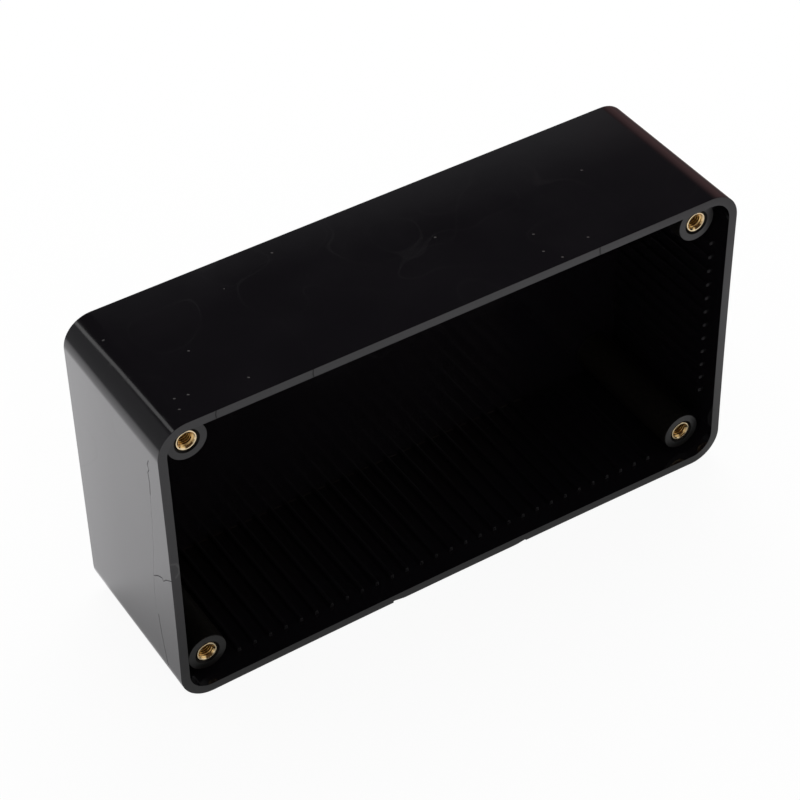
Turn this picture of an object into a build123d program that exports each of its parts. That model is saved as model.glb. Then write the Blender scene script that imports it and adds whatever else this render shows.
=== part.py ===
from build123d import *
import os
from math import cos, floor, radians, sin

# Plastic project box: a moulded housing that stands on its long side wall with its opening to the front,
# and four brass threaded inserts in corner bosses. Sizes are in millimetres.
# The housing is drawn as it lies on its back, opening up, and is stood up at the end.

# Housing, outside
box_length = 120.0  # over the end walls, at the rim
box_height = 65.2  # over the long side walls, at the rim
box_depth = 34.6  # closed back to rim
corner_radius = 6.1  # upright corners, at the rim
outer_draft = 0.5  # degrees that each wall leans in towards the back
back_edge_radius = 0.4  # where the walls turn into the closed back

# Housing, inside
wall_thickness = 1.8  # at the rim
back_thickness = 2.2
inner_draft = 0.5  # degrees, so the walls thicken towards the back
inner_edge_chamfer = 0.2  # where the inside of the walls meets the back

# Guide ribs for circuit boards, on the inside of all four walls
rib_pitch = 3.29
rib_width = 0.9  # at the wall
rib_crest_width = 0.65
rib_height = 0.9
rib_start = 4.0  # from the rim to the near end of each rib
rib_lead_in = 0.15  # chamfer on the near end of each rib
rib_boss_space = 2.5  # least distance from the middle of a rib to a boss

# Screw bosses in the corners
boss_diameter = 7.8
boss_recess = 2.9  # from the rim to the face of the boss
boss_from_end = 7.0  # outer end face to the middle of the boss
boss_from_side = 6.8  # outer side face to the middle of the boss
boss_web_thickness = 1.2
boss_web_drop = 2.0  # from the face of the boss down to its two webs
screw_tip_diameter = 3.3  # blind hole behind the insert, for the end of the screw
screw_tip_depth = 4.5

# Threaded inserts
insert_diameter = 4.1
insert_length = 5.8
insert_recess = 0.3  # from the face of the boss to the face of the insert
insert_groove_depth = 0.3  # groove round the middle that locks it in the plastic
insert_groove_width = 1.6
thread_core_diameter = 2.5  # M3 tapping size
thread_lead_in = 0.5  # chamfer at the mouth of the thread
insert_fit = 0.02  # clearance round the insert, on the radius
mouth_chamfer = 0.5  # countersink of the boss round the insert

# Places that several pieces share
boss_face_z = box_depth - boss_recess
insert_face_z = boss_face_z - insert_recess
boss_x = box_length / 2 - boss_from_end
boss_y = box_height / 2 - boss_from_side
corner_names = {
    (-1, 1): "upper_left",
    (1, 1): "upper_right",
    (-1, -1): "lower_left",
    (1, -1): "lower_right",
}


def drafted_block(length, height, radius, depth, draft):
    """A rounded block that hangs from the rim and narrows downwards by the draft angle."""
    rim_plane = Plane(origin=(0, 0, box_depth), x_dir=(1, 0, 0), z_dir=(0, 0, -1))
    return extrude(rim_plane * RectangleRounded(length, height, radius), amount=depth, taper=draft)


def shell():
    """The walls and the closed back, with nothing in them."""
    block = drafted_block(box_length, box_height, corner_radius, box_depth, outer_draft)
    back_edges = block.faces().sort_by(Axis.Z)[0].edges()
    block = fillet(back_edges, radius=back_edge_radius)

    cavity = drafted_block(
        box_length - 2 * wall_thickness,
        box_height - 2 * wall_thickness,
        corner_radius - wall_thickness,
        box_depth - back_thickness,
        inner_draft,
    )
    floor_edges = cavity.faces().sort_by(Axis.Z)[0].edges()
    return block - chamfer(floor_edges, length=inner_edge_chamfer)


def guide_rib():
    """One rib: X along the wall, Y off the wall, Z down the wall from the rim."""
    root = wall_thickness / 2
    flare = (rib_width - rib_crest_width) / 2 / rib_height
    section = Polygon(
        (-rib_width / 2 - flare * root, -root),
        (rib_width / 2 + flare * root, -root),
        (rib_crest_width / 2, rib_height),
        (-rib_crest_width / 2, rib_height),
        align=None,
    )
    length = box_depth - rib_start - back_thickness / 2
    rib = extrude(Plane.XY.offset(rib_start) * section, amount=length)
    near_end = rib.faces().sort_by(Axis.Z)[0]
    return chamfer(near_end.edges().sort_by(Axis.Y)[-1], length=rib_lead_in)


def ribs_along(wall_half_span, wall_offset, turns):
    """Rows of ribs on two facing walls, as many as fit between the bosses."""
    reach = wall_half_span - boss_diameter / 2 - rib_boss_space
    count = floor(2 * reach / rib_pitch) + 1
    lean = radians(inner_draft)
    rib = guide_rib()
    row = []
    for turn in turns:
        for i in range(count):
            along = (i - (count - 1) / 2) * rib_pitch
            wall = Plane(
                origin=(along, wall_offset - wall_thickness, box_depth),
                x_dir=(1, 0, 0),
                z_dir=(0, -sin(lean), -cos(lean)),
            )
            row.append(Rot(0, 0, turn) * wall.location * rib)
    return row


def boss(side_x, side_y):
    """A screw boss on the back, with a web to each of its two walls."""
    middle = Pos(side_x * boss_x, side_y * boss_y, 0)
    root_z = back_thickness / 2
    height = boss_face_z - root_z
    pillar = Cylinder(boss_diameter / 2, height, align=(Align.CENTER, Align.CENTER, Align.MIN))

    web_height = height - boss_web_drop
    end_reach = boss_from_end - wall_thickness / 2
    side_reach = boss_from_side - wall_thickness / 2
    end_web = Pos(side_x * end_reach / 2, 0, 0) * Box(
        end_reach, boss_web_thickness, web_height, align=(Align.CENTER, Align.CENTER, Align.MIN)
    )
    side_web = Pos(0, side_y * side_reach / 2, 0) * Box(
        boss_web_thickness, side_reach, web_height, align=(Align.CENTER, Align.CENTER, Align.MIN)
    )
    return [middle * Pos(0, 0, root_z) * piece for piece in (pillar, end_web, side_web)]


def turned(profile_points):
    """A solid of revolution about Z from (radius, height) points."""
    return revolve(Plane.XZ * make_face(Polyline(*profile_points, close=True)), axis=Axis.Z)


def boss_hole():
    """What is taken out of a boss: countersunk mouth, seat of the insert, and room for the screw's tip."""
    seat_radius = insert_diameter / 2 + insert_fit
    mouth_radius = seat_radius + mouth_chamfer
    tip_radius = screw_tip_diameter / 2
    foot_z = insert_face_z - insert_length
    return turned(
        [
            (0, box_depth),
            (mouth_radius, box_depth),
            (mouth_radius, boss_face_z),
            (seat_radius, boss_face_z - mouth_chamfer),
            (seat_radius, foot_z),
            (tip_radius, foot_z),
            (tip_radius, foot_z - screw_tip_depth),
            (0, foot_z - screw_tip_depth),
        ]
    )


def threaded_insert():
    """A brass insert, two bands with a groove between them, its thread drawn at the core diameter."""
    radius = insert_diameter / 2
    groove_radius = radius - insert_groove_depth
    core = thread_core_diameter / 2
    foot_z = insert_face_z - insert_length
    groove_foot = foot_z + (insert_length - insert_groove_width) / 2
    groove_top = groove_foot + insert_groove_width
    return turned(
        [
            (radius, insert_face_z),
            (radius, groove_top),
            (groove_radius, groove_top),
            (groove_radius, groove_foot),
            (radius, groove_foot),
            (radius, foot_z),
            (core, foot_z),
            (core, insert_face_z - thread_lead_in),
            (core + thread_lead_in, insert_face_z),
        ]
    )


def box_body():
    """The whole moulding."""
    features = ribs_along(boss_x, box_height / 2, (0, 180))
    features += ribs_along(boss_y, box_length / 2, (90, 270))
    for side_x, side_y in corner_names:
        features += boss(side_x, side_y)
    body = shell().fuse(*features)
    hole = boss_hole()
    holes = [Pos(x * boss_x, y * boss_y, 0) * hole for x, y in corner_names]
    return body.cut(*holes)


def main():
    stand_up = Location((0, box_depth / 2, box_height / 2), (90, 0, 0))
    pieces = {"box_body": box_body()}
    insert = threaded_insert()
    for (side_x, side_y), name in corner_names.items():
        pieces["insert_" + name] = Pos(side_x * boss_x, side_y * boss_y, 0) * insert

    os.makedirs("parts", exist_ok=True)
    for name, piece in pieces.items():
        export_step(stand_up * piece, f"parts/{name}.step")


main()
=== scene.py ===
from math import ceil, cos, floor, hypot, pi, radians, sin, tan

import bmesh
import bpy
from mathutils import Matrix, Vector


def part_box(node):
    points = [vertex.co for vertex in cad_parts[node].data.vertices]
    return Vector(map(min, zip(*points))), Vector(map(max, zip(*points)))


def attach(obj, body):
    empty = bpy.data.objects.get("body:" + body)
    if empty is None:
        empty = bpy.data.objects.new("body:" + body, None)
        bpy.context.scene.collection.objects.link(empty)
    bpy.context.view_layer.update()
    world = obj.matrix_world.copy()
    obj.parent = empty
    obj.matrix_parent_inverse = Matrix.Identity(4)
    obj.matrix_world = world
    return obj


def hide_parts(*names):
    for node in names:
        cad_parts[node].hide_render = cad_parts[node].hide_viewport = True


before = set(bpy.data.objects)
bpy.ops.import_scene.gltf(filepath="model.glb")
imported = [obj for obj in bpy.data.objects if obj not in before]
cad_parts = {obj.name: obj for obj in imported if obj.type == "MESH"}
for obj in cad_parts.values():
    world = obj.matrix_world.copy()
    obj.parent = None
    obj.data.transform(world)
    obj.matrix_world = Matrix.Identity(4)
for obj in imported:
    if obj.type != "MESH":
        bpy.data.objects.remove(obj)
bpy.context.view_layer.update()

# A black moulded project box with four brass threaded inserts. The pieces are modelled in millimetres as the
# box lies on its closed back, opening up, and to_frame stands them up and turns them to metres.
MM = 0.001
TINY = 0.001

# Housing, outside: the overall sizes come from the frame
body_low, body_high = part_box("box_body")
box_length, box_depth, box_height = ((high - low) / MM for low, high in zip(body_low, body_high))
corner_radius = 6.1
corner_segments = 20
outer_draft = radians(0.5)
back_edge_radius = 0.15
back_edge_segments = 3
wall_bows = {"top": 0.04, "bottom": 0.5, "left": 0.15, "right": 0.18}  # how far each wall sinks in at its rim
bow_step = 6.0
rim_nicks = [(-14.1, -10, 0.26), (13.1, 8, 0.18)]  # on the outer edge of the lower rim: place, turn and depth
nick_length = 2.6

# Housing, inside
wall_thickness = 1.8
back_thickness = 2.2
inner_draft = radians(0.5)
inner_edge_chamfer = 0.1
rim_edge_radius = 0.08
fine_segments = 2

# Guide ribs
rib_pitch = 3.29
rib_width = 0.9
rib_crest_width = 0.65
rib_height = 0.9
end_rib_height = 0.65  # on the end walls, a little lower than on the long walls
rib_start = 4.0
rib_boss_space = 2.5
rib_edge_radius = 0.12

# Screw bosses
boss_diameter = 7.8
boss_segments = 72
boss_recess = 2.9
boss_from_end = 7.0
boss_from_side = 6.8
boss_edge_radius = 0.1
boss_web_thickness = 1.2
boss_web_drop = 2.0
mouth_chamfer = 0.42
screw_tip_diameter = 3.3
screw_tip_depth = 4.5

# Brass inserts
insert_low, insert_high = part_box("insert_upper_left")
insert_diameter = (insert_high.x - insert_low.x) / MM
insert_length = (insert_high.y - insert_low.y) / MM
insert_recess = 0.2
insert_fit = 0.02
insert_groove_depth = 0.3
insert_groove_width = 1.6
insert_edge_chamfer = 0.1
insert_segments = 64
thread_core_diameter = 2.5
thread_major_diameter = 3.2
thread_pitch = 0.5
thread_lead_in = 0.5
thread_steps = 36

# Places that several pieces share
boss_face = box_depth - boss_recess
insert_face = boss_face - insert_recess
insert_foot = insert_face - insert_length
boss_x = box_length / 2 - boss_from_end
boss_y = box_height / 2 - boss_from_side
corner_names = {
    (-1, 1): "upper_left",
    (1, 1): "upper_right",
    (-1, -1): "lower_left",
    (1, -1): "lower_right",
}
to_frame = (
    Matrix.Scale(MM, 4)
    @ Matrix.Translation((0, box_depth / 2, box_height / 2))
    @ Matrix.Rotation(radians(90), 4, "X")
)


# Mesh tools


def soften(bm, edges, size, segments):
    """Rounds edges, or chamfers them where there is one segment."""
    bmesh.ops.bevel(
        bm,
        geom=edges,
        offset=size,
        offset_type="OFFSET",
        segments=segments,
        profile=0.5,
        affect="EDGES",
        material=-1,
    )
    bm.normal_update()


def block(low, high):
    """A rectangular solid between two corners, as a bmesh."""
    bm = bmesh.new()
    low, high = Vector(low), Vector(high)
    size = Matrix.Diagonal((*(high - low), 1))
    bmesh.ops.create_cube(bm, size=1, matrix=Matrix.Translation((low + high) / 2) @ size)
    bm.normal_update()
    return bm


def turned(section, steps, closed):
    """A solid of revolution about Z from (radius, height) points, which run round or from axis to axis."""
    bm = bmesh.new()
    points = [bm.verts.new((radius, 0, height)) for radius, height in section]
    following = points[1:] + points[:1] if closed else points[1:]
    lines = [bm.edges.new(pair) for pair in zip(points, following)]
    bmesh.ops.spin(
        bm, geom=points + lines, axis=(0, 0, 1), cent=(0, 0, 0), angle=2 * pi, steps=steps, use_merge=True
    )
    bmesh.ops.remove_doubles(bm, verts=bm.verts, dist=TINY)
    bmesh.ops.recalc_face_normals(bm, faces=bm.faces)
    return bm


def add_copy(bm, mesh, place):
    """Adds a placed copy of a mesh to a bmesh."""
    before = len(bm.verts)
    bm.from_mesh(mesh)
    bm.verts.ensure_lookup_table()
    bmesh.ops.transform(bm, matrix=place, verts=bm.verts[before:])


def as_mesh(name, bm):
    mesh = bpy.data.meshes.new(name)
    bm.to_mesh(mesh)
    bm.free()
    return mesh


def as_object(name, mesh):
    made = bpy.data.objects.new(name, mesh)
    bpy.context.scene.collection.objects.link(made)
    return made


def cut_and_joined(mesh, steps):
    """A mesh after a list of (operation, other mesh) steps between closed solids."""
    work = as_object("work", mesh)
    tools = []
    for operation, other in steps:
        tools.append(as_object("tool", other))
        step = work.modifiers.new(operation.lower(), "BOOLEAN")
        step.operation = operation
        step.solver = "EXACT"
        step.object = tools[-1]
    ready = work.evaluated_get(bpy.context.evaluated_depsgraph_get())
    result = bpy.data.meshes.new_from_object(ready)
    for done in [work, *tools]:
        bpy.data.objects.remove(done)
    return result


def finished(name, mesh, place, materials, slot_of, replaced):
    """Puts a mesh in the frame as a piece: materials by face, crisp edges, and a ride on the root body."""
    bm = bmesh.new()
    bm.from_mesh(mesh)
    bmesh.ops.remove_doubles(bm, verts=bm.verts, dist=TINY / 2)
    bmesh.ops.dissolve_degenerate(bm, edges=bm.edges, dist=TINY / 2)
    bm.normal_update()
    for face in bm.faces:
        face.smooth = True
        face.material_index = slot_of(face)
    for edge in bm.edges:
        edge.smooth = edge.is_manifold and edge.calc_face_angle() < radians(35)
    bmesh.ops.transform(bm, matrix=to_frame @ place, verts=bm.verts)
    piece = as_object(name, as_mesh(name, bm))
    for material in materials:
        piece.data.materials.append(material)
    flat = piece.modifiers.new("flat_face_normals", "WEIGHTED_NORMAL")
    flat.keep_sharp = True
    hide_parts(replaced)
    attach(piece, "root")
    return piece


# Housing


def lean_in(verts, inward):
    """Draws corners of the rounded outline in, each along the line to the middle of its corner arc."""
    for vert in verts:
        middle = Vector((
            (box_length / 2 - corner_radius) * (1 if vert.co.x > 0 else -1),
            (box_height / 2 - corner_radius) * (1 if vert.co.y > 0 else -1),
            vert.co.z,
        ))
        outward = vert.co - middle
        vert.co = middle + outward * (1 - inward / outward.length)


def outline_at(bm, height):
    """The edges at one height where a level face meets a wall."""
    return [
        edge
        for edge in bm.edges
        if all(abs(vert.co.z - height) < TINY for vert in edge.verts)
        and any(abs(face.normal.z) < 0.5 for face in edge.link_faces)
    ]


def shell():
    """The walls and the closed back: a block with rounded corners, its mouth inset and pushed in."""
    half = Vector((box_length / 2, box_height / 2, 0))
    bm = block(-half, half + Vector((0, 0, box_depth)))
    upright = [edge for edge in bm.edges if abs(edge.verts[0].co.z - edge.verts[1].co.z) > TINY]
    soften(bm, upright, corner_radius, corner_segments)
    lean_in([vert for vert in bm.verts if vert.co.z < TINY], box_depth * tan(outer_draft))

    mouth = max(bm.faces, key=lambda face: face.calc_center_median().z)
    bmesh.ops.inset_region(bm, faces=[mouth], thickness=wall_thickness, use_even_offset=True)
    cavity_depth = box_depth - back_thickness
    pushed = bmesh.ops.extrude_face_region(bm, geom=[mouth])
    floor_corners = [item for item in pushed["geom"] if isinstance(item, bmesh.types.BMVert)]
    bmesh.ops.delete(bm, geom=[mouth], context="FACES_ONLY")
    bmesh.ops.translate(bm, verts=floor_corners, vec=(0, 0, -cavity_depth))
    lean_in(floor_corners, cavity_depth * tan(inner_draft))
    bm.normal_update()

    soften(bm, outline_at(bm, 0), back_edge_radius, back_edge_segments)
    soften(bm, outline_at(bm, back_thickness), inner_edge_chamfer, 1)
    soften(bm, outline_at(bm, box_depth), rim_edge_radius, fine_segments)
    for axis, span in ((Vector((1, 0, 0)), box_length), (Vector((0, 1, 0)), box_height)):
        cuts = floor((span / 2 - corner_radius) / bow_step)
        for cut in range(-cuts, cuts + 1):
            everything = bm.verts[:] + bm.edges[:] + bm.faces[:]
            bmesh.ops.bisect_plane(bm, geom=everything, plane_co=axis * cut * bow_step, plane_no=axis)
    return as_mesh("shell", bm)


def guide_rib(height):
    """One rib: X along the wall, Y off the wall, Z down the wall from the rim."""
    root = wall_thickness / 2
    flare = (rib_width - rib_crest_width) / 2 / rib_height
    root_half = rib_width / 2 + flare * root
    far_end = box_depth - back_thickness / 2
    bm = block((-root_half, -root, rib_start), (root_half, height, far_end))
    crest = [vert for vert in bm.verts if vert.co.y > 0]
    bmesh.ops.scale(bm, vec=(rib_crest_width / 2 / root_half, 1, 1), verts=crest)
    seen_edges = [
        edge
        for edge in bm.edges
        if any(vert in crest for vert in edge.verts)
        and any(vert.co.z < rib_start + TINY for vert in edge.verts)
    ]
    soften(bm, seen_edges, rib_edge_radius, fine_segments)
    return as_mesh("rib", bm)


def guide_ribs():
    """Rows of ribs on all four walls, as many as fit between the bosses."""
    bm = bmesh.new()
    rows = [
        (boss_x, box_height / 2, guide_rib(rib_height), (0, 180)),
        (boss_y, box_length / 2, guide_rib(end_rib_height), (90, 270)),
    ]
    for wall_half_span, wall_offset, rib, turns in rows:
        reach = wall_half_span - boss_diameter / 2 - rib_boss_space
        count = floor(2 * reach / rib_pitch) + 1
        for turn in turns:
            for i in range(count):
                along = (i - (count - 1) / 2) * rib_pitch
                corner = Matrix.Translation((along, wall_offset - wall_thickness, box_depth))
                wall = corner @ Matrix((
                    (1, 0, 0, 0),
                    (0, -cos(inner_draft), -sin(inner_draft), 0),
                    (0, sin(inner_draft), -cos(inner_draft), 0),
                    (0, 0, 0, 1),
                ))
                add_copy(bm, rib, Matrix.Rotation(radians(turn), 4, "Z") @ wall)
    bmesh.ops.recalc_face_normals(bm, faces=bm.faces)
    return as_mesh("ribs", bm)


def at_bosses(mesh):
    """Four copies of a mesh made for the boss at +X +Y, mirrored to the other corners."""
    bm = bmesh.new()
    for side_x, side_y in corner_names:
        mirrored = Matrix.Diagonal((side_x, side_y, 1, 1))
        add_copy(bm, mesh, Matrix.Translation((side_x * boss_x, side_y * boss_y, 0)) @ mirrored)
    bmesh.ops.recalc_face_normals(bm, faces=bm.faces)
    return as_mesh(mesh.name + "s", bm)


def boss_pillar():
    root = back_thickness / 2
    radius = boss_diameter / 2
    edge = boss_edge_radius
    section = [
        (0, root),
        (radius, root),
        (radius, boss_face - edge),
        (radius - edge, boss_face),
        (0, boss_face),
    ]
    return as_mesh("pillar", turned(section, boss_segments, closed=False))


def boss_web(reach_x, reach_y):
    """A web from the middle of a boss to a wall."""
    root = back_thickness / 2
    top = boss_face - boss_web_drop
    bm = block((-reach_x[0], -reach_y[0], root), (reach_x[1], reach_y[1], top))
    soften(bm, outline_at(bm, top), boss_edge_radius, fine_segments)
    return as_mesh("web", bm)


def boss_hole():
    """Countersunk mouth, seat of the insert, and blind room for the tip of a screw."""
    seat = insert_diameter / 2 + insert_fit
    mouth = seat + mouth_chamfer
    tip = screw_tip_diameter / 2
    section = [
        (0, box_depth),
        (mouth, box_depth),
        (mouth, boss_face),
        (seat, boss_face - mouth_chamfer),
        (seat, insert_foot),
        (tip, insert_foot),
        (tip, insert_foot - screw_tip_depth),
        (0, insert_foot - screw_tip_depth),
    ]
    return as_mesh("hole", turned(section, boss_segments, closed=False))


def nicks():
    """Small chips out of the outer edge of the lower rim."""
    bm = bmesh.new()
    chip = as_mesh("chip", block((-nick_length / 2, -2, -2), (nick_length / 2, 0, 2)))
    tilt = Matrix.Rotation(radians(-12), 4, "X")
    for along, turn, depth in rim_nicks:
        edge = Matrix.Translation((along, depth - box_height / 2, box_depth))
        add_copy(bm, chip, edge @ Matrix.Rotation(radians(turn), 4, "Z") @ tilt)
    return as_mesh("nicks", bm)


def sink_walls(mesh):
    """Bows the walls in a little between the corners, most at the rim, as a moulding shrinks."""
    for vert in mesh.vertices:
        x, y, z = vert.co
        beside_x, beside_y = box_length / 2 - abs(x), box_height / 2 - abs(y)
        along_x = max(0, 1 - (x / (box_length / 2 - corner_radius)) ** 2)
        along_y = max(0, 1 - (y / (box_height / 2 - corner_radius)) ** 2)
        long_bow = wall_bows["top" if y > 0 else "bottom"] * along_x * min(1, max(0, 8 - beside_y) / 4)
        short_bow = wall_bows["right" if x > 0 else "left"] * along_y * min(1, max(0, 8 - beside_x) / 4)
        vert.co.y -= long_bow * z / box_depth * (1 if y > 0 else -1)
        vert.co.x -= short_bow * z / box_depth * (1 if x > 0 else -1)
    return mesh


def housing_slot(face):
    """Satin on the rim, the boss faces and the near ends of the ribs, dull on the mouths round the inserts and
    the sides of the bosses, and gloss on all else."""
    x, y, height = face.calc_center_median()
    aside = hypot(abs(x) - boss_x, abs(y) - boss_y)
    if 0.5 < face.normal.z < 0.8 and boss_face - mouth_chamfer < height < boss_face:
        return 2
    if abs(face.normal.z) < 0.5 and abs(aside - boss_diameter / 2) < 0.1:
        return 2
    level = face.normal.z > 0.9
    on_rim = level and height > box_depth - rim_edge_radius
    on_boss = level and abs(height - boss_face) < boss_edge_radius
    on_rib_end = level and abs(height - (box_depth - rib_start)) < boss_edge_radius
    return 1 if on_rim or on_boss or on_rib_end else 0


def housing(gloss, satin, dull):
    half_web = boss_web_thickness / 2
    to_end = boss_from_end - wall_thickness / 2
    to_side = boss_from_side - wall_thickness / 2
    steps = [
        ("UNION", guide_ribs()),
        ("UNION", at_bosses(boss_web((0, to_end), (half_web, half_web)))),
        ("UNION", at_bosses(boss_web((half_web, half_web), (0, to_side)))),
        ("UNION", at_bosses(boss_pillar())),
        ("DIFFERENCE", at_bosses(boss_hole())),
        ("DIFFERENCE", nicks()),
    ]
    mesh = sink_walls(cut_and_joined(shell(), steps))
    return finished(
        "housing", mesh, Matrix.Identity(4), [gloss, satin, dull], housing_slot, "box_body"
    )


# Inserts


def thread_tap():
    """A screw that cuts the thread: one pitch of its flanks spun up a helix, then cut flat and closed."""
    outer = thread_major_diameter / 2
    inner = thread_core_diameter / 2 - thread_pitch / 5
    root_flat = thread_pitch / 8
    flank_rise = (outer - inner) * tan(radians(30))
    low = insert_foot - thread_pitch
    high = insert_face + thread_pitch
    turns = ceil((high - low) / thread_pitch) + 3
    start = low - 1.5 * thread_pitch
    section = [
        (inner, 0),
        (outer, flank_rise),
        (outer, flank_rise + root_flat),
        (inner, 2 * flank_rise + root_flat),
        (inner, thread_pitch),
    ]
    bm = bmesh.new()
    points = [bm.verts.new((radius, 0, start + rise)) for radius, rise in section]
    lines = [bm.edges.new(pair) for pair in zip(points, points[1:])]
    bmesh.ops.spin(
        bm,
        geom=points + lines,
        axis=(0, 0, 1),
        cent=(0, 0, 0),
        dvec=(0, 0, thread_pitch / thread_steps),
        angle=2 * pi * turns,
        steps=thread_steps * turns,
    )
    bmesh.ops.remove_doubles(bm, verts=bm.verts, dist=TINY)
    for height, direction in ((low, -1), (high, 1)):
        everything = bm.verts[:] + bm.edges[:] + bm.faces[:]
        cut = bmesh.ops.bisect_plane(
            bm, geom=everything, plane_co=(0, 0, height), plane_no=(0, 0, direction), clear_outer=True
        )
        rim = [item for item in cut["geom_cut"] if isinstance(item, bmesh.types.BMEdge)]
        bmesh.ops.edgeloop_fill(bm, edges=rim)
    bmesh.ops.recalc_face_normals(bm, faces=bm.faces)
    return as_mesh("tap", bm)


def insert_blank():
    """The turned bush: two bands with a groove between them, and a bore with a wide lead-in."""
    radius = insert_diameter / 2
    groove = radius - insert_groove_depth
    core = thread_core_diameter / 2
    groove_foot = insert_foot + (insert_length - insert_groove_width) / 2
    groove_top = groove_foot + insert_groove_width
    section = [
        (core + thread_lead_in, insert_face),
        (radius - insert_edge_chamfer, insert_face),
        (radius, insert_face - insert_edge_chamfer),
        (radius, groove_top),
        (groove, groove_top),
        (groove, groove_foot),
        (radius, groove_foot),
        (radius, insert_foot),
        (core, insert_foot),
        (core, insert_face - thread_lead_in),
    ]
    return as_mesh("blank", turned(section, insert_segments, closed=True))


def inserts(brass):
    """The four brass inserts, each turned differently in its boss."""
    threaded = cut_and_joined(insert_blank(), [("DIFFERENCE", thread_tap())])
    for quarter, ((side_x, side_y), corner) in enumerate(corner_names.items()):
        turn = Matrix.Rotation(radians(80 * quarter), 4, "Z")
        place = Matrix.Translation((side_x * boss_x, side_y * boss_y, 0)) @ turn
        finished(
            "threaded_insert_" + corner, threaded, place, [brass], lambda face: 0, "insert_" + corner
        )


# Materials


def node(tree, kind, inputs=None, **settings):
    """Adds a node. An input is a number, a colour, a vector, or the output of another node."""
    made = tree.nodes.new("ShaderNode" + kind)
    for name, value in settings.items():
        setattr(made, name, value)
    for key, value in (inputs or {}).items():
        if isinstance(value, bpy.types.NodeSocket):
            tree.links.new(value, made.inputs[key])
        else:
            made.inputs[key].default_value = value
    return made


def sums(tree, operation, first, second):
    return node(tree, "Math", {0: first, 1: second}, operation=operation).outputs[0]


def eased(tree, value, low, high, start=0.0, end=1.0):
    """Goes smoothly from start to end while a value goes from low to high."""
    limits = {"Value": value, "From Min": low, "From Max": high, "To Min": start, "To Max": end}
    return node(tree, "MapRange", limits, interpolation_type="SMOOTHSTEP").outputs["Result"]


def noise(tree, place, grain, detail=2.0):
    """Noise with grains of about one size in millimetres, around 0.5."""
    return node(tree, "TexNoise", {"Vector": place, "Scale": 1 / (grain * MM), "Detail": detail}).outputs[0]


def blended(tree, share, first, second):
    """A colour between two colours."""
    mix = node(tree, "Mix", {0: share}, data_type="RGBA")
    for socket, colour in ((mix.inputs[6], first), (mix.inputs[7], second)):
        if isinstance(colour, bpy.types.NodeSocket):
            tree.links.new(colour, socket)
        else:
            socket.default_value = (*colour, 1)
    return mix.outputs[2]


def from_strokes(tree, place, seen_along, strokes):
    """How far a place is from the nearest of some straight strokes, looking along one axis.

    Each stroke is given by its two ends in millimetres, with 0 along that axis."""
    flat = node(tree, "VectorMath", {0: place, 1: Vector((1, 1, 1)) - Vector(seen_along)}, operation="MULTIPLY")
    nearest = None
    for start, end in strokes:
        start, run = Vector(start) * MM, (Vector(end) - Vector(start)) * MM
        offset = node(tree, "VectorMath", {0: flat.outputs[0], 1: start}, operation="SUBTRACT").outputs[0]
        share = node(tree, "VectorMath", {0: offset, 1: run / run.length_squared}, operation="DOT_PRODUCT")
        held = node(tree, "Clamp", {0: share.outputs["Value"]}).outputs[0]
        foot = node(tree, "VectorMath", {0: run, "Scale": held}, operation="SCALE").outputs[0]
        gap = node(tree, "VectorMath", {0: offset, 1: foot}, operation="DISTANCE").outputs["Value"]
        nearest = gap if nearest is None else sums(tree, "MINIMUM", nearest, gap)
    return nearest


def end_to_end(points):
    """Strokes that follow each other through some points."""
    return list(zip(points, points[1:]))


def specks(tree, place, spacing, radius, kept):
    """Round specks scattered through space, on a share of the cells that are one spacing wide."""
    cells = node(tree, "TexVoronoi", {"Vector": place, "Scale": 1 / (spacing * MM)})
    dot = eased(tree, cells.outputs["Distance"], radius / spacing, 0.6 * radius / spacing)
    chance = node(tree, "SeparateColor", {0: cells.outputs["Color"]}).outputs[0]
    return sums(tree, "MULTIPLY", dot, sums(tree, "LESS_THAN", chance, kept))


def hair_scratches(tree, place, size):
    """Long thin curved lines, where a coarse noise crosses its middle."""
    crossing = sums(tree, "ABSOLUTE", sums(tree, "SUBTRACT", noise(tree, place, size, 1.0), 0.5), 0.0)
    return eased(tree, crossing, 0.0025, 0.001)


def bumped(tree, shader, layers):
    """Adds up (height, depth in millimetres) layers into one bump."""
    height = None
    for value, depth in layers:
        layer = sums(tree, "MULTIPLY", value, depth * MM)
        height = layer if height is None else sums(tree, "ADD", height, layer)
    bump = node(tree, "Bump", {"Height": height, "Distance": 1.0})
    tree.links.new(bump.outputs[0], shader.inputs["Normal"])


def new_material(name):
    """A new material with its node tree, its shader, and the place and normal on the piece."""
    material = bpy.data.materials.new(name)
    material.use_nodes = True
    tree = material.node_tree
    coordinates = node(tree, "TexCoord")
    shader = tree.nodes["Principled BSDF"]
    return material, tree, shader, coordinates.outputs["Object"], coordinates.outputs["Normal"]


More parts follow.
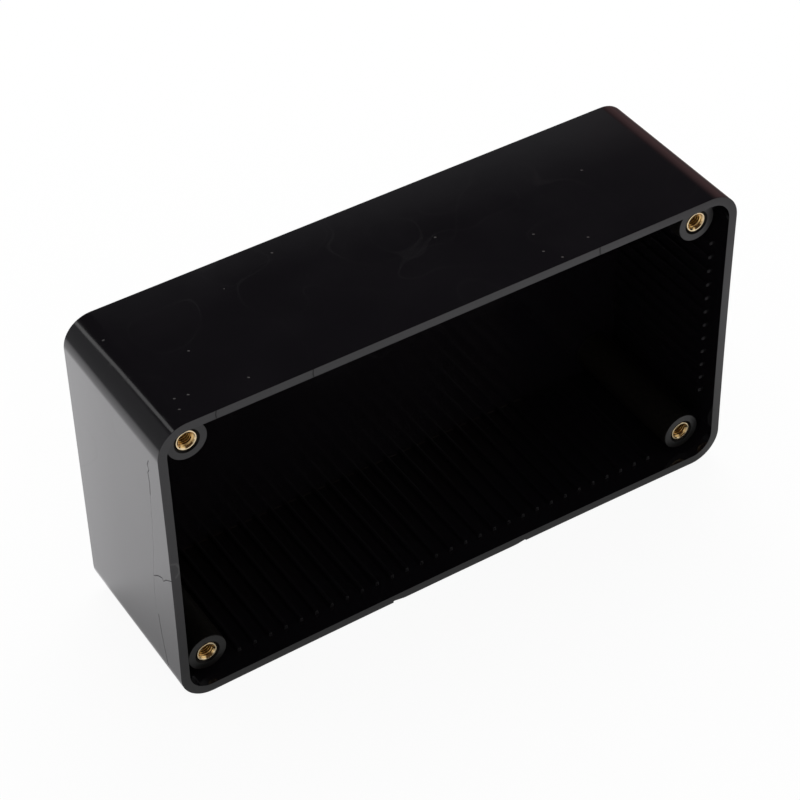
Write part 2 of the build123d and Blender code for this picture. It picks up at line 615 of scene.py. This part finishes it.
def gloss_black():
    """The moulded walls: glossy black, a little uneven, with dust, hair scratches and a few real marks."""
    material, tree, shader, place, normal = new_material("gloss_black_plastic")
    shader.inputs["IOR"].default_value = 1.55

    across, back, up = node(tree, "SeparateXYZ", {0: place}).outputs
    marks = from_strokes(tree, place, (1, 0, 0), [
        *end_to_end([
            (0, -13.6, 56.9), (0, -13.0, 55.6), (0, -13.4, 54.6),
            (0, -12.8, 53.6), (0, -13.0, 51.0), (0, -12.7, 48.4),
        ]),
        *end_to_end([
            (0, -10.2, 26.8), (0, -11.9, 28.2), (0, -13.5, 29.1),
            (0, -14.1, 28.7), (0, -15.2, 29.9), (0, -17.2, 31.3),
        ]),
        *end_to_end([(0, -10.4, 17.2), (0, -10.9, 12.6), (0, -12.3, 5.8)]),
    ])
    faint_marks = from_strokes(tree, place, (1, 0, 0), [
        *end_to_end([
            (0, -12.7, 48.4), (0, -12.2, 42.0), (0, -11.4, 34.0),
            (0, -10.2, 26.8), (0, -9.8, 22.0), (0, -9.9, 18.5),
        ]),
    ])
    scored = sums(
        tree,
        "MAXIMUM",
        eased(tree, marks, 0.16 * MM, 0.05 * MM),
        eased(tree, faint_marks, 0.12 * MM, 0.03 * MM, 0, 0.4),
    )
    on_left_end = sums(tree, "LESS_THAN", across, (2 - box_length / 2) * MM)
    scored = sums(tree, "MULTIPLY", scored, on_left_end)
    lint_places = [
        (-19.8, 13.8), (6.5, 1.4), (39.5, 3.1), (21.4, -7.6), (20.1, -12.6), (21.9, -15.8), (28.9, -13.7),
        (-45.0, -1.4), (-40.0, -13.0), (-52.9, -10.8), (-50.5, -11.2), (-53.5, -13.6), (-55.6, 9.4),
    ]
    lint = from_strokes(tree, place, (0, 0, 1), [((x, y, 0), (x + 0.15, y - 0.1, 0)) for x, y in lint_places])
    on_top = sums(tree, "GREATER_THAN", up, box_height / 2 * MM)
    lint = sums(tree, "MULTIPLY", eased(tree, lint, 0.2 * MM, 0.06 * MM), on_top)
    facing_up = eased(tree, node(tree, "SeparateXYZ", {0: normal}).outputs["Z"], 0.5, 0.9)
    settled = sums(tree, "MULTIPLY", specks(tree, place, 4.0, 0.16, 0.12), facing_up)
    dust = sums(tree, "MAXIMUM", settled, lint)
    dust = sums(tree, "MAXIMUM", dust, specks(tree, place, 5.0, 0.12, 0.05))
    hairs = sums(tree, "MAXIMUM", hair_scratches(tree, place, 22), hair_scratches(tree, place, 31))

    patches = noise(tree, place, 14, 3.0)
    plastic = blended(tree, patches, (0.0026, 0.0022, 0.0029), (0.0040, 0.0034, 0.0044))
    colour = blended(tree, sums(tree, "MULTIPLY", dust, 0.7), plastic, (0.075, 0.072, 0.07))
    tree.links.new(colour, shader.inputs["Base Color"])

    rough = eased(tree, patches, 0.3, 0.7, 0.07, 0.12)
    rough = sums(tree, "ADD", rough, sums(tree, "MULTIPLY", hairs, 0.08))
    rough = sums(tree, "ADD", rough, sums(tree, "MULTIPLY", sums(tree, "MAXIMUM", scored, dust), 0.5))
    tree.links.new(rough, shader.inputs["Roughness"])

    ripples = noise(tree, place, 3.2, 1.0)
    near_back = sums(tree, "MAXIMUM", sums(tree, "SUBTRACT", back, 2 * MM), 0.0)
    rounding = sums(tree, "MULTIPLY", sums(tree, "POWER", near_back, 2.0), -1 / MM)
    bumped(tree, shader, [(ripples, 0.004), (rounding, 1.0), (scored, -0.03), (dust, 0.02)])
    return material


def satin_black():
    """The rim, the boss faces and the rib ends: satin black with a fine grain, hairlines and one rub mark, and
    painted shade darkening the recessed boss faces.
    """
    material, tree, shader, place, normal = new_material("satin_black_rim")
    shader.inputs["IOR"].default_value = 1.55

    top = box_height
    hairlines = from_strokes(tree, place, (0, 1, 0), [
        *end_to_end([(-48.5, 0, top + 0.2), (-48.7, 0, top - 0.8), (-48.6, 0, top - wall_thickness)]),
        *end_to_end([(-29.9, 0, top + 0.2), (-30.0, 0, top - 1.0), (-29.9, 0, top - wall_thickness)]),
        ((29.0, 0, top + 0.2), (29.1, 0, top - wall_thickness)),
    ])
    cut = eased(tree, hairlines, 0.18 * MM, 0.06 * MM)
    rub = from_strokes(tree, place, (0, 1, 0), end_to_end([
        (-59.6, 0, 35.3), (-58.6, 0, 34.9), (-58.1, 0, 33.8), (-58.2, 0, 32.6), (-58.9, 0, 31.8),
    ]))
    rubbed = eased(tree, rub, 0.3 * MM, 0.1 * MM)

    grain = noise(tree, place, 0.22, 3.0)
    clouds = noise(tree, place, 7, 3.0)
    plastic = blended(tree, clouds, (0.004, 0.0038, 0.0044), (0.0065, 0.0062, 0.007))
    colour = blended(tree, sums(tree, "MULTIPLY", rubbed, 0.6), plastic, (0.05, 0.05, 0.05))
    dust = sums(tree, "MULTIPLY", specks(tree, place, 2.6, 0.12, 0.1), 0.6)
    colour = blended(tree, dust, colour, (0.08, 0.078, 0.075))

    unevenness = sums(tree, "ADD", clouds, sums(tree, "MULTIPLY", grain, 0.5))
    rough = eased(tree, unevenness, 0.5, 1.0, 0.29, 0.37)
    across, back, up = node(tree, "SeparateXYZ", {0: place}).outputs
    rib_ends = (rib_start - box_depth / 2) * MM
    on_ribs = eased(tree, back, rib_ends - 0.7 * MM, rib_ends - 0.3 * MM)
    # painted shade: a darker colour on the recessed boss faces, between the rim and the rib ends
    painted_boss_shade = sums(tree, "SUBTRACT", eased(tree, back, rib_ends - 3 * MM, rib_ends - 2 * MM), on_ribs)
    colour = blended(tree, painted_boss_shade, colour, (0.001, 0.001, 0.0008))
    off_middle = sums(tree, "ABSOLUTE", across, 0.0)
    rib_change = eased(tree, off_middle, 56.5 * MM, 57.0 * MM, -0.04, 0.16)  # smoother, but rougher at the ends
    rough = sums(tree, "ADD", rough, sums(tree, "MULTIPLY", on_ribs, rib_change))
    rough = sums(tree, "MAXIMUM", rough, sums(tree, "MULTIPLY", cut, 0.9))
    tree.links.new(colour, shader.inputs["Base Color"])
    tree.links.new(rough, shader.inputs["Roughness"])
    bumped(tree, shader, [(grain, 0.006), (clouds, 0.01), (cut, -0.04)])
    return material


def dull_black():
    """The sides of the bosses and their mouths round the inserts: rough and nearly lightless."""
    material, tree, shader, place, normal = new_material("dull_black_boss")
    shader.inputs["Specular IOR Level"].default_value = 0.12
    crumbs = noise(tree, place, 0.3, 3.0)
    colour = blended(tree, eased(tree, crumbs, 0.4, 0.7), (0.0025, 0.0022, 0.002), (0.009, 0.007, 0.005))
    tree.links.new(colour, shader.inputs["Base Color"])
    tree.links.new(eased(tree, crumbs, 0.3, 0.7, 0.4, 0.6), shader.inputs["Roughness"])
    bumped(tree, shader, [(crumbs, 0.03)])
    return material


def bright_brass():
    """Turned brass: pale on its face, with rings and tarnish, and painted shade making it dark at its outer edge
    and deeper in the bore.
    """
    material, tree, shader, place, normal = new_material("bright_brass")
    shader.inputs["Metallic"].default_value = 1.0

    middle = Vector((0, 0, box_height / 2)) * MM
    axis = Vector((boss_x, 0, boss_y)) * MM
    offset = node(tree, "VectorMath", {0: place, 1: middle}, operation="SUBTRACT").outputs[0]
    offset = node(tree, "VectorMath", {0: offset}, operation="ABSOLUTE").outputs[0]
    offset = node(tree, "VectorMath", {0: offset, 1: axis}, operation="SUBTRACT").outputs[0]
    across = node(tree, "VectorMath", {0: offset, 1: (1, 0, 1)}, operation="MULTIPLY").outputs[0]
    radius = node(tree, "VectorMath", {0: across}, operation="LENGTH").outputs["Value"]
    ring_spacing = 0.11 * MM
    turns = sums(tree, "MULTIPLY", radius, 2 * pi / ring_spacing)
    rings = node(tree, "Math", {0: turns}, operation="SINE").outputs[0]

    mouth = (box_depth / 2 - insert_face) * MM
    depth = sums(tree, "SUBTRACT", node(tree, "SeparateXYZ", {0: place}).outputs["Y"], mouth)
    tarnish = eased(tree, noise(tree, place, 0.9, 3.0), 0.45, 0.7)
    # painted shade: the brass turns darker and warmer with depth into the lead-in and the bore
    brass_with_bore_shade = blended(tree, eased(tree, depth, 0.02 * MM, 0.2 * MM), (0.90, 0.73, 0.46), (0.78, 0.52, 0.22))
    brass_with_bore_shade = blended(tree, eased(tree, depth, 0.35 * MM, 1.1 * MM), brass_with_bore_shade, (0.58, 0.30, 0.07))
    colour = blended(tree, sums(tree, "MULTIPLY", tarnish, 0.25), brass_with_bore_shade, (0.45, 0.29, 0.10))
    outside = insert_diameter / 2
    # painted shade: a dark band on the outer edge stands in for the shade in the gap round the insert
    painted_edge_shade = eased(tree, radius, (outside - 0.12) * MM, (outside - 0.03) * MM, 0, 0.85)
    colour = blended(tree, painted_edge_shade, colour, (0.06, 0.035, 0.012))
    tree.links.new(colour, shader.inputs["Base Color"])
    rough = eased(tree, tarnish, 0, 1, 0.16, 0.28)
    tree.links.new(rough, shader.inputs["Roughness"])
    bumped(tree, shader, [(rings, 0.0015), (noise(tree, place, 0.25, 2.0), 0.004)])
    return material


# Stage, light and camera


def aimed(thing, location, target):
    thing.location = location
    thing.rotation_mode = "QUATERNION"
    thing.rotation_quaternion = (Vector(target) - Vector(location)).to_track_quat("-Z", "Y")


def soft_lamp(name, azimuth, elevation, distance, size, radiance, mirrored):
    """A rectangular soft box of (width, height), aimed at the middle of the box. Azimuth 0 is straight behind."""
    lamp = bpy.data.lights.new(name, "AREA")
    lamp.shape = "RECTANGLE"
    lamp.size, lamp.size_y = size
    lamp.energy = radiance * pi * size[0] * size[1]
    made = as_object(name, lamp)
    made.visible_glossy = mirrored
    middle = Vector((0, 0, box_height / 2 * MM))
    a, e = radians(azimuth), radians(elevation)
    aimed(made, middle + distance * Vector((sin(a) * cos(e), cos(a) * cos(e), sin(e))), middle)
    return made


def white_table():
    """The floor: white to the camera, with a soft shadow. In reflections it has a painted glow of light behind
    the box and a painted shadow just in front of it, and turns into the walls of the room further off."""
    bm = bmesh.new()
    bmesh.ops.create_grid(bm, x_segments=1, y_segments=1, size=4)
    table = as_object("table", as_mesh("table", bm))
    material, tree, shader, place, normal = new_material("white_table")
    shader.inputs["Roughness"].default_value = 1.0
    path = node(tree, "LightPath")
    white = node(tree, "Emission", {"Color": (1, 1, 1, 1), "Strength": 1.0})
    share = sums(tree, "MULTIPLY", path.outputs["Is Camera Ray"], 0.93)
    seen = node(tree, "MixShader", {0: share, 1: shader.outputs[0], 2: white.outputs[0]})
    across, behind, up = node(tree, "SeparateXYZ", {0: place}).outputs
    mirrored = sums(tree, "MAXIMUM", path.outputs["Is Glossy Ray"], path.outputs["Is Transmission Ray"])
    not_under = eased(tree, behind, -0.016, -0.018)
    # painted shadow: in reflections the floor just in front of the box is painted darker
    painted_front_shadow = sums(tree, "MULTIPLY", eased(tree, behind, -0.045, -0.02), not_under)
    paint = blended(tree, painted_front_shadow, (0.905, 0.895, 0.92), (0.6, 0.6, 0.6))
    paint = blended(tree, mirrored, (0.92, 0.92, 0.92), paint)
    tree.links.new(paint, shader.inputs["Base Color"])
    beside = sums(tree, "ABSOLUTE", across, 0.0)
    # painted light: in reflections the floor glows brighter behind the box, less off to the sides
    bright = eased(tree, behind, -0.1, 0.08, 0, 0.38)
    bright = sums(tree, "MULTIPLY", bright, eased(tree, beside, 0.086, 0.11, 1, 0.1))
    bright = sums(tree, "MULTIPLY", bright, eased(tree, behind, -0.03, -0.016))
    painted_floor_glow = node(tree, "Emission", {"Strength": sums(tree, "MULTIPLY", bright, mirrored)})
    from_box = node(tree, "VectorMath", {0: place}, operation="LENGTH").outputs["Value"]
    at_right = eased(tree, across, 0.06, 0.12)
    reach = sums(tree, "MULTIPLY", from_box, sums(tree, "ADD", at_right, 1.0))
    far = sums(tree, "MULTIPLY", eased(tree, reach, 0.2, 0.38), mirrored)
    wall = blended(tree, at_right, (0.27, 0.27, 0.28), (0.15, 0.1, 0.1))
    beyond = node(tree, "Emission", {"Color": wall, "Strength": 1.0})
    near = node(tree, "AddShader", {0: seen.outputs[0], 1: painted_floor_glow.outputs[0]})
    whole = node(tree, "MixShader", {0: far, 1: near.outputs[0], 2: beyond.outputs[0]})
    tree.links.new(whole.outputs[0], tree.nodes["Material Output"].inputs["Surface"])
    table.data.materials.append(material)


def studio_room():
    """What lies round the table: a grey wall behind, warm at the right, dark above, and plain white light."""
    world = bpy.data.worlds.new("studio")
    bpy.context.scene.world = world
    world.use_nodes = True
    tree = world.node_tree
    direction = node(tree, "TexCoord").outputs["Generated"]
    to_right, to_back, up = node(tree, "SeparateXYZ", {0: direction}).outputs
    dark = (0.03, 0.028, 0.032)
    back_wall = blended(tree, eased(tree, up, 0.48, 0.61), (0.27, 0.27, 0.28), dark)
    right_wall = blended(tree, eased(tree, up, 0.3, 0.63), (0.26, 0.145, 0.145), dark)
    front = blended(tree, eased(tree, up, 0.49, 0.62), (0.5, 0.5, 0.5), dark)
    behind = blended(tree, eased(tree, to_right, 0.47, 0.56), back_wall, right_wall)
    room = blended(tree, eased(tree, to_back, 0.1, -0.2), behind, front)
    low_front = sums(tree, "MULTIPLY", eased(tree, to_back, 0.1, -0.2), eased(tree, up, 0.12, 0.3))
    room = blended(tree, low_front, room, (0.06, 0.042, 0.03))
    window = Vector((0.81, -0.5, 0.3)).normalized()
    towards = node(tree, "VectorMath", {0: direction, 1: window}, operation="DOT_PRODUCT").outputs["Value"]
    room = blended(tree, eased(tree, towards, 0.86, 0.93), room, (0.85, 0.85, 0.85))
    path = node(tree, "LightPath")
    mirrored = node(tree, "Background", {"Color": room})
    plain = node(tree, "Background", {"Color": (0.72, 0.72, 0.72, 1)})
    white = node(tree, "Background", {"Color": (1, 1, 1, 1)})
    glossy, camera_ray = path.outputs["Is Glossy Ray"], path.outputs["Is Camera Ray"]
    lit = node(tree, "MixShader", {0: glossy, 1: plain.outputs[0], 2: mirrored.outputs[0]})
    whole = node(tree, "MixShader", {0: camera_ray, 1: lit.outputs[0], 2: white.outputs[0]})
    tree.links.new(whole.outputs[0], tree.nodes["World Output"].inputs["Surface"])


def studio():
    white_table()
    studio_room()
    soft_lamp("key_soft_box", 35, 52, 0.8, (0.6, 0.6), 2.6, mirrored=False)
    soft_lamp("edge_strip", -31, 38.5, 1.2, (0.11, 0.5), 1.1, mirrored=True)


def camera():
    """The photograph's view: direction, distance and lens from a fit to the outline and rim of the box."""
    azimuth, elevation, roll = radians(-31.598), radians(41.861), radians(-1.324)
    distance = 478.15 * MM
    target = Vector((-2.28, 0, 31.57)) * MM
    focal_length_px = 2596.0
    image_width_px = 800
    back = Vector((sin(azimuth) * cos(elevation), -cos(azimuth) * cos(elevation), sin(elevation)))
    right = (-back).cross(Vector((0, 0, 1))).normalized()
    up = right.cross(-back)
    turned_right = cos(roll) * right + sin(roll) * up
    turned_up = -sin(roll) * right + cos(roll) * up
    data = bpy.data.cameras.new("camera")
    data.sensor_width = 36
    data.lens = focal_length_px * data.sensor_width / image_width_px
    data.shift_x, data.shift_y = -0.5 / image_width_px, 0.5 / image_width_px
    data.clip_start, data.clip_end = 0.01, 20
    made = as_object("camera", data)
    axes = Matrix((turned_right, turned_up, back)).transposed()
    made.matrix_world = Matrix.Translation(target + back * distance) @ axes.to_4x4()
    bpy.context.scene.camera = made


bpy.context.scene.view_settings.view_transform = "Standard"
housing(gloss_black(), satin_black(), dull_black())
inserts(bright_brass())
studio()
camera()
